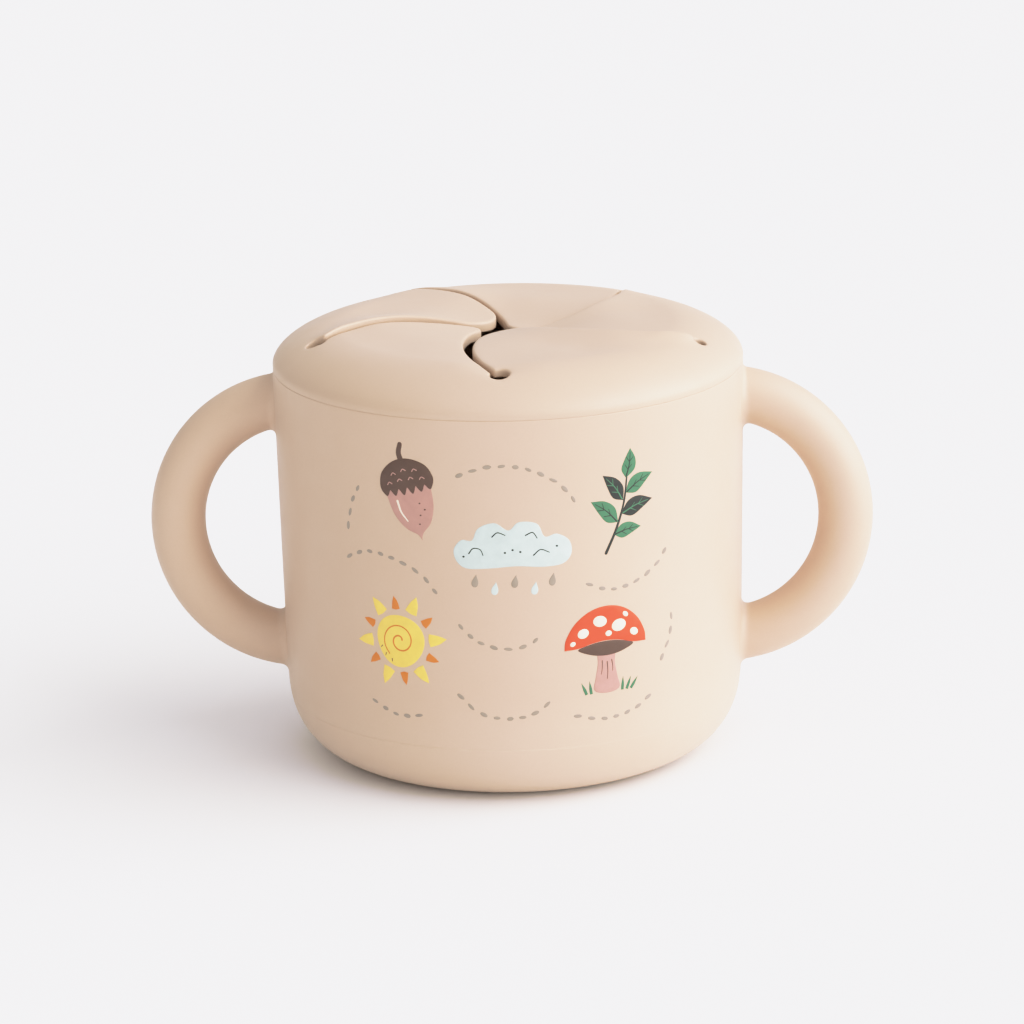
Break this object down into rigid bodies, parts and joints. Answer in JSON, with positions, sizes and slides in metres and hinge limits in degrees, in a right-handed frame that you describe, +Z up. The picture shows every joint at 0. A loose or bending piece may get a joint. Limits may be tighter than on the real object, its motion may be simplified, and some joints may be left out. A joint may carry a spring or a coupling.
{
  "type": "toddler snack cup",
  "caption": "Soft silicone snack cup with ring handles and a lift-off lid cut into curved flaps that a small hand pushes through.",
  "frame": {"origin": "bottom centre of the bounding box: on the floor, on the cup's axis", "axes": "+Z up along the cup's axis, handles on -X and +X, printed front towards -Y"},
  "size_m": [0.1366, 0.088, 0.0838],
  "materials": {
    "cup_silicone": "matte silicone, peach beige",
    "lid_silicone": "matte silicone, pale peach beige"
  },
  "bodies": {
    "cup": {"cup_body": "cup_silicone", "handle_left": "cup_silicone", "handle_right": "cup_silicone"},
    "lid": {"lid_ring": "lid_silicone", "lid_plug": "lid_silicone"},
    "flap_front_right": {"flap_front_right": "lid_silicone"},
    "flap_right": {"flap_right": "lid_silicone"},
    "flap_back": {"flap_back": "lid_silicone"},
    "flap_back_left": {"flap_back_left": "lid_silicone"},
    "flap_front_left": {"flap_front_left": "lid_silicone"}
  },
  "joints": [
    {"name": "lid_lift", "type": "slide", "parent": "cup", "child": "lid", "axis": [0, 0, 1], "range_m": [0, 0.06]},
    {"name": "flap_front_right_bend", "type": "hinge", "parent": "lid", "child": "flap_front_right", "pos_m": [0.01726, -0.02376, 0.0805], "axis": [-0.809, -0.5878, 0], "range_deg": [-60, 80], "stiffness_Nm_per_rad": 0.006, "springref_deg": -1.49},
    {"name": "flap_right_bend", "type": "hinge", "parent": "lid", "child": "flap_right", "pos_m": [0.02793, 0.00907, 0.0805], "axis": [0.309, -0.9511, 0], "range_deg": [-60, 80], "stiffness_Nm_per_rad": 0.006, "springref_deg": -1.49},
    {"name": "flap_back_bend", "type": "hinge", "parent": "lid", "child": "flap_back", "pos_m": [0, 0.02937, 0.0805], "axis": [1, 0, 0], "range_deg": [-60, 80], "stiffness_Nm_per_rad": 0.006, "springref_deg": -1.49},
    {"name": "flap_back_left_bend", "type": "hinge", "parent": "lid", "child": "flap_back_left", "pos_m": [-0.02793, 0.00907, 0.0805], "axis": [0.309, 0.9511, 0], "range_deg": [-60, 80], "stiffness_Nm_per_rad": 0.006, "springref_deg": -1.49},
    {"name": "flap_front_left_bend", "type": "hinge", "parent": "lid", "child": "flap_front_left", "pos_m": [-0.01726, -0.02376, 0.0805], "axis": [-0.809, 0.5878, 0], "range_deg": [-60, 80], "stiffness_Nm_per_rad": 0.006, "springref_deg": -1.49}
  ]
}
